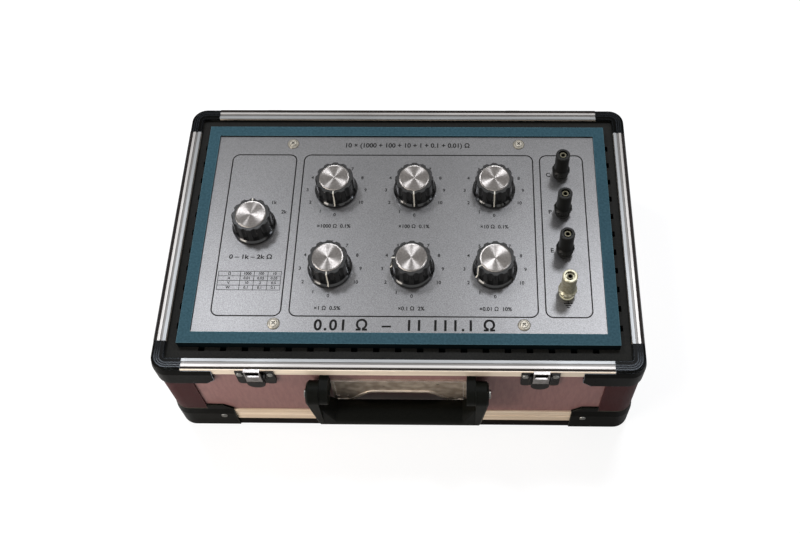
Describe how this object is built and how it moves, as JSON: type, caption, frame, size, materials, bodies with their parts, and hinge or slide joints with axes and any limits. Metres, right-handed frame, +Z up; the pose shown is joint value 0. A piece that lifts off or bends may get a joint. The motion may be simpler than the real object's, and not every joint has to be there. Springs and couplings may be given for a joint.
{
  "type": "earth resistance meter calibrator",
  "caption": "Decade resistance calibrator with rotary switches and binding posts, built into an aluminium-framed carrying case with latches and a swinging handle; lid removed.",
  "frame": {"origin": "centre of the flat resting face of the case, between the four foot castings", "axes": "+Z up out of the instrument panel, +X to the right along the case's length as seen from the handle side, +Y away from the handle towards the hinges"},
  "size_m": [0.4536, 0.3238, 0.177],
  "materials": {
    "tray_plastic": "fine-grained moulding",
    "wall_laminate": "mauve laminate on board",
    "profile_paint": "burgundy coated profile",
    "rail_aluminium": "natural anodised extrusion",
    "strip_aluminium": "warm anodised extrusion",
    "seal_rubber": "extruded strip",
    "casting_plastic": "semi-gloss moulding",
    "screw_steel": "zinc plated",
    "ledge_plastic": "matt black",
    "frame_paint": "teal enamel",
    "chassis_steel": "zinc plated sheet",
    "panel_aluminium": "fine speckled satin",
    "cup_steel": "polished",
    "nut_brass": "nickel over brass",
    "switch_phenolic": "laminate wafers",
    "resistor_enamel": "lacquered winding",
    "knob_phenolic": "polished black moulding",
    "cap_aluminium": "spun and turned",
    "shaft_steel": "ground",
    "post_plastic": "moulded black",
    "earth_post_metal": "nickel plated",
    "stud_brass": "nickel over brass",
    "washer_nickel": "nickel plated",
    "latch_black": "black enamel",
    "claw_chrome": "bright chrome",
    "handle_plastic": "moulded black",
    "handle_rubber": "soft moulded grip",
    "handle_chrome": "bright chrome plate",
    "hinge_steel": "nickel plated"
  },
  "bodies": {
    "case": {"base_tray": "tray_plastic", "front_panel": "wall_laminate", "back_panel": "wall_laminate", "end_panels": "wall_laminate", "corner_profiles": "profile_paint", "rim_rails": "rail_aluminium", "rim_seals": "seal_rubber", "rim_corners": "casting_plastic", "base_strips": "strip_aluminium", "base_corners": "casting_plastic", "case_screws": "screw_steel", "inner_frame": "ledge_plastic", "panel_frame": "frame_paint", "chassis": "chassis_steel", "instrument_panel": "panel_aluminium", "panel_screws": "cup_steel", "panel_nuts": "nut_brass", "switches": "switch_phenolic", "decade_resistors": "resistor_enamel", "post_bases": "post_plastic", "post_studs": "stud_brass", "latch_plates": "latch_black", "handle_brackets": "handle_plastic", "handle_plate": "handle_chrome", "handle_pins": "screw_steel", "hinge_leaves": "hinge_steel"},
    "range_knob": {"range_knob": "knob_phenolic", "range_knob_cap": "cap_aluminium", "range_shaft": "shaft_steel"},
    "decade_knob_1": {"decade_knob_1": "knob_phenolic", "decade_knob_cap_1": "cap_aluminium", "decade_shaft_1": "shaft_steel"},
    "decade_knob_2": {"decade_knob_2": "knob_phenolic", "decade_knob_cap_2": "cap_aluminium", "decade_shaft_2": "shaft_steel"},
    "decade_knob_3": {"decade_knob_3": "knob_phenolic", "decade_knob_cap_3": "cap_aluminium", "decade_shaft_3": "shaft_steel"},
    "decade_knob_4": {"decade_knob_4": "knob_phenolic", "decade_knob_cap_4": "cap_aluminium", "decade_shaft_4": "shaft_steel"},
    "decade_knob_5": {"decade_knob_5": "knob_phenolic", "decade_knob_cap_5": "cap_aluminium", "decade_shaft_5": "shaft_steel"},
    "decade_knob_6": {"decade_knob_6": "knob_phenolic", "decade_knob_cap_6": "cap_aluminium", "decade_shaft_6": "shaft_steel"},
    "post_washer_1": {"post_washer_1": "washer_nickel"},
    "post_cap_1": {"post_cap_1": "post_plastic"},
    "post_washer_2": {"post_washer_2": "washer_nickel"},
    "post_cap_2": {"post_cap_2": "post_plastic"},
    "post_washer_3": {"post_washer_3": "washer_nickel"},
    "post_cap_3": {"post_cap_3": "post_plastic"},
    "post_washer_4": {"post_washer_4": "washer_nickel"},
    "post_cap_4": {"post_cap_4": "earth_post_metal"},
    "latch_lever_1": {"latch_lever_1": "latch_black"},
    "latch_claw_1": {"latch_claw_1": "claw_chrome"},
    "latch_lever_2": {"latch_lever_2": "latch_black"},
    "latch_claw_2": {"latch_claw_2": "claw_chrome"},
    "handle": {"handle_grip": "handle_rubber"}
  },
  "joints": [
    {"name": "range_switch_turn", "type": "hinge", "parent": "case", "child": "range_knob", "pos_m": [-0.144, 0.003, 0.141], "axis": [0, 0, -1], "range_deg": [0, 60]},
    {"name": "decade_1_turn", "type": "hinge", "parent": "case", "child": "decade_knob_1", "pos_m": [-0.067, 0.045, 0.141], "axis": [0, 0, -1], "range_deg": [0, 300]},
    {"name": "decade_2_turn", "type": "hinge", "parent": "case", "child": "decade_knob_2", "pos_m": [0.011, 0.045, 0.141], "axis": [0, 0, -1], "range_deg": [0, 300]},
    {"name": "decade_3_turn", "type": "hinge", "parent": "case", "child": "decade_knob_3", "pos_m": [0.089, 0.045, 0.141], "axis": [0, 0, -1], "range_deg": [0, 300]},
    {"name": "decade_4_turn", "type": "hinge", "parent": "case", "child": "decade_knob_4", "pos_m": [-0.067, -0.043, 0.141], "axis": [0, 0, -1], "range_deg": [0, 300]},
    {"name": "decade_5_turn", "type": "hinge", "parent": "case", "child": "decade_knob_5", "pos_m": [0.011, -0.043, 0.141], "axis": [0, 0, -1], "range_deg": [-90, 210]},
    {"name": "decade_6_turn", "type": "hinge", "parent": "case", "child": "decade_knob_6", "pos_m": [0.089, -0.043, 0.141], "axis": [0, 0, -1], "range_deg": [-60, 240]},
    {"name": "post_1_lift", "type": "slide", "parent": "case", "child": "post_washer_1", "axis": [0, 0, 1], "range_m": [0, 0.004]},
    {"name": "post_1_turn", "type": "hinge", "parent": "post_washer_1", "child": "post_cap_1", "pos_m": [0.1555, 0.064, 0.151], "axis": [0, 0, 1], "range_deg": [0, 1440.5]},
    {"name": "post_2_lift", "type": "slide", "parent": "case", "child": "post_washer_2", "axis": [0, 0, 1], "range_m": [0, 0.004]},
    {"name": "post_2_turn", "type": "hinge", "parent": "post_washer_2", "child": "post_cap_2", "pos_m": [0.1555, 0.02, 0.151], "axis": [0, 0, 1], "range_deg": [0, 1440.5]},
    {"name": "post_3_lift", "type": "slide", "parent": "case", "child": "post_washer_3", "axis": [0, 0, 1], "range_m": [0, 0.004]},
    {"name": "post_3_turn", "type": "hinge", "parent": "post_washer_3", "child": "post_cap_3", "pos_m": [0.1555, -0.024, 0.151], "axis": [0, 0, 1], "range_deg": [0, 1440.5]},
    {"name": "post_4_lift", "type": "slide", "parent": "case", "child": "post_washer_4", "axis": [0, 0, 1], "range_m": [0, 0.004]},
    {"name": "post_4_turn", "type": "hinge", "parent": "post_washer_4", "child": "post_cap_4", "pos_m": [0.1555, -0.068, 0.151], "axis": [0, 0, 1], "range_deg": [0, 1440.5]},
    {"name": "latch_1_lever_swing", "type": "hinge", "parent": "case", "child": "latch_lever_1", "pos_m": [-0.129, -0.1481, 0.132], "axis": [-1, 0, 0], "range_deg": [0, 120]},
    {"name": "latch_1_claw_swing", "type": "hinge", "parent": "latch_lever_1", "child": "latch_claw_1", "pos_m": [-0.129, -0.1495, 0.126], "axis": [-1, 0, 0], "range_deg": [-120.5, 0.5]},
    {"name": "latch_2_lever_swing", "type": "hinge", "parent": "case", "child": "latch_lever_2", "pos_m": [0.129, -0.1481, 0.132], "axis": [-1, 0, 0], "range_deg": [0, 120]},
    {"name": "latch_2_claw_swing", "type": "hinge", "parent": "latch_lever_2", "child": "latch_claw_2", "pos_m": [0.129, -0.1495, 0.126], "axis": [-1, 0, 0], "range_deg": [-120.5, 0.5]},
    {"name": "handle_swing", "type": "hinge", "parent": "case", "child": "handle", "pos_m": [0, -0.1583, 0.118], "axis": [-1, 0, 0], "range_deg": [0, 120]}
  ],
  "couplings": [
    {"joint": "post_1_turn", "follows": "post_1_lift", "rad_per_m": 6283.2},
    {"joint": "post_2_turn", "follows": "post_2_lift", "rad_per_m": 6283.2},
    {"joint": "post_3_turn", "follows": "post_3_lift", "rad_per_m": 6283.2},
    {"joint": "post_4_turn", "follows": "post_4_lift", "rad_per_m": 6283.2},
    {"joint": "latch_1_claw_swing", "follows": "latch_1_lever_swing", "ratio": -1},
    {"joint": "latch_2_claw_swing", "follows": "latch_2_lever_swing", "ratio": -1}
  ]
}
